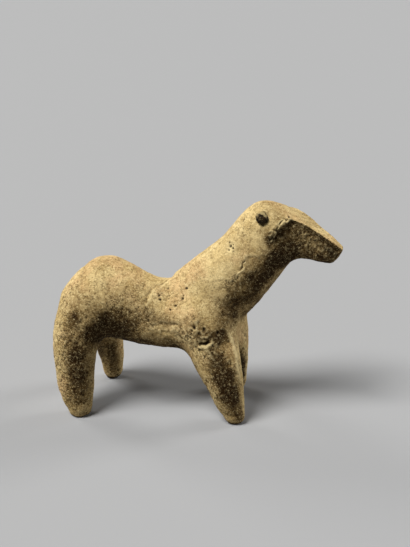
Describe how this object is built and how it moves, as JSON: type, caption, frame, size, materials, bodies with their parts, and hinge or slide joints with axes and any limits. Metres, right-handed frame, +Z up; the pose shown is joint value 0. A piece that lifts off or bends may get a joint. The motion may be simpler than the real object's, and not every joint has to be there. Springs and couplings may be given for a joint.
{
  "type": "terracotta horse figurine",
  "caption": "Small solid fired-clay horse modelled by hand, with peg legs, humped rump, raised neck, flat-sided muzzle and applied clay pellets for eyes. Stands on its own feet.",
  "frame": {"origin": "on the ground under the middle of the figure's box", "axes": "+X towards the nose, +Y towards the horse's left, +Z up"},
  "size_m": [0.104, 0.0428, 0.08],
  "materials": {
    "fired_clay": "matt buff terracotta, worn, with brown soil in its pores",
    "dark_clay": "matt dark clay pellet with worn grey top"
  },
  "bodies": {
    "root": {"clay_body": "fired_clay", "right_eye": "dark_clay", "left_eye": "dark_clay"}
  },
  "joints": []
}
